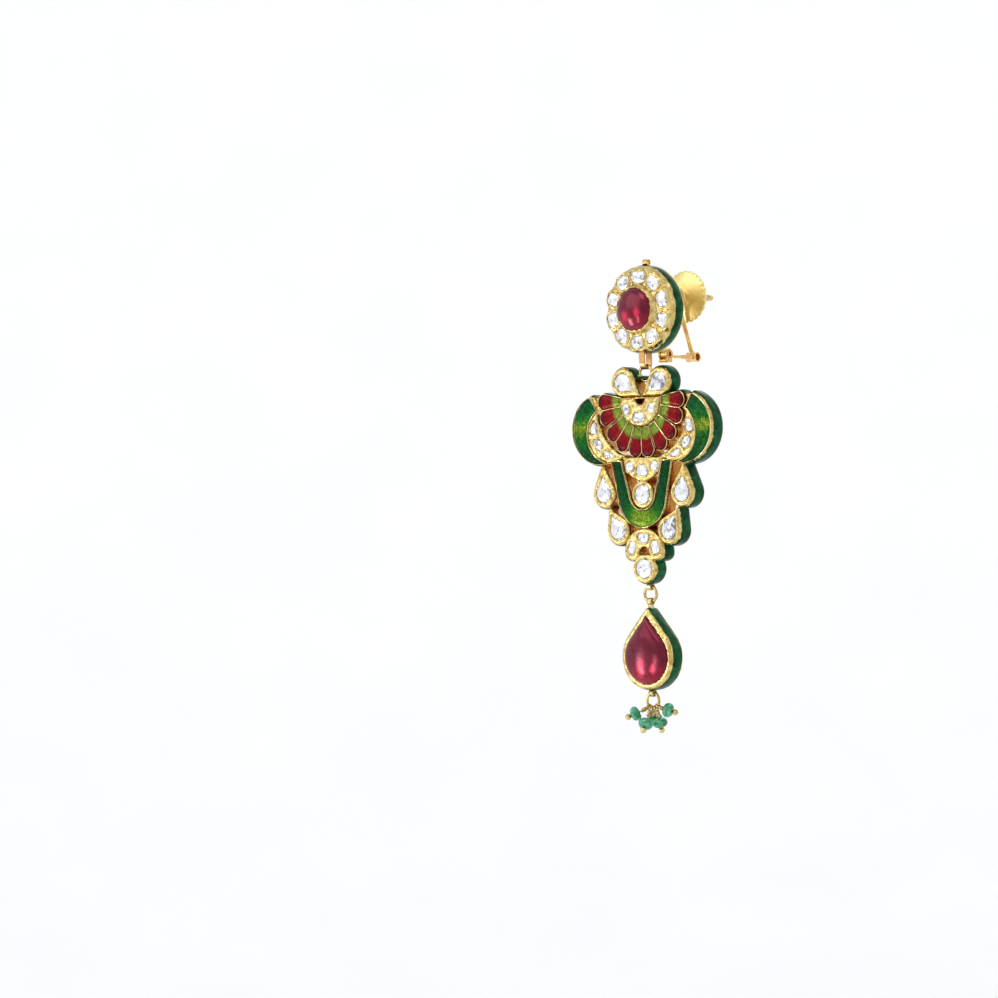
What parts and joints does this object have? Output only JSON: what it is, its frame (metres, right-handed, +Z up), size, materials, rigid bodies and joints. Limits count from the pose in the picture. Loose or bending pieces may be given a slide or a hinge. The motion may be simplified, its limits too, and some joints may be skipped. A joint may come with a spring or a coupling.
{
  "type": "chandelier earring",
  "caption": "Gold drop earring: round rosette with an ear post, screw nut and hinged clip, a pierced enamelled plaque hanging from it, and a pear-shaped drop with a bead cluster.",
  "frame": {"origin": "on the ear post's axis, at the rosette's back plane, where the ear lobe's front rests", "axes": "+Z up, -Y the way the face looks, +Y along the ear post towards its tip, +X to the right of a viewer who faces it"},
  "size_m": [0.0294, 0.0212, 0.0759],
  "materials": {
    "gold": "polished",
    "green_enamel": "glossy",
    "petal_enamel": "glossy",
    "ruby": "polished",
    "clear_stone": "polished",
    "green_bead": "polished"
  },
  "bodies": {
    "rosette": {"rosette_case": "gold", "rosette_enamel": "green_enamel", "rosette_ruby": "ruby", "rosette_polki": "clear_stone", "clip_rivet": "gold"},
    "nut": {"post_nut": "gold"},
    "clip": {"clip_lever": "gold"},
    "plaque": {"plaque_case": "gold", "plaque_enamel": "green_enamel", "lobe_left": "green_enamel", "lobe_right": "green_enamel", "u_band": "green_enamel", "petal_1": "petal_enamel", "petal_2": "petal_enamel", "petal_3": "petal_enamel", "petal_4": "petal_enamel", "petal_5": "petal_enamel", "petal_6": "petal_enamel", "petal_7": "petal_enamel", "petal_8": "petal_enamel", "petal_9": "petal_enamel", "petal_10": "petal_enamel", "top_pear_left": "clear_stone", "top_pear_right": "clear_stone", "side_pear_left": "clear_stone", "side_pear_right": "clear_stone", "low_pear_left": "clear_stone", "low_pear_right": "clear_stone", "hub_stone": "clear_stone", "foot_stone": "clear_stone", "fan_polki": "clear_stone", "left_polki": "clear_stone", "right_polki": "clear_stone", "mid_polki": "clear_stone", "base_polki": "clear_stone"},
    "drop": {"upper_ring": "gold", "drop_case": "gold", "drop_enamel": "green_enamel", "drop_ruby": "ruby", "lower_ring": "gold", "head_pin_1": "gold", "head_pin_2": "gold", "head_pin_3": "gold", "head_pin_4": "gold", "head_pin_5": "gold", "bead_1": "green_bead", "bead_2": "green_bead", "bead_3": "green_bead", "bead_4": "green_bead", "bead_5": "green_bead"}
  },
  "joints": [
    {"name": "nut_travel", "type": "slide", "parent": "rosette", "child": "nut", "axis": [0, 1, 0], "range_m": [0, 0.008]},
    {"name": "clip_hinge", "type": "hinge", "parent": "rosette", "child": "clip", "pos_m": [0, 0.0036, -0.00935], "axis": [1, 0, 0], "range_deg": [-2, 24]},
    {"name": "plaque_swing", "type": "hinge", "parent": "rosette", "child": "plaque", "pos_m": [0, -0.0014, -0.01122], "axis": [1, 0, 0], "range_deg": [-25, 25]},
    {"name": "drop_swing", "type": "hinge", "parent": "plaque", "child": "drop", "pos_m": [0, -0.0014, -0.04657], "axis": [1, 0, 0], "range_deg": [-30, 30]}
  ]
}
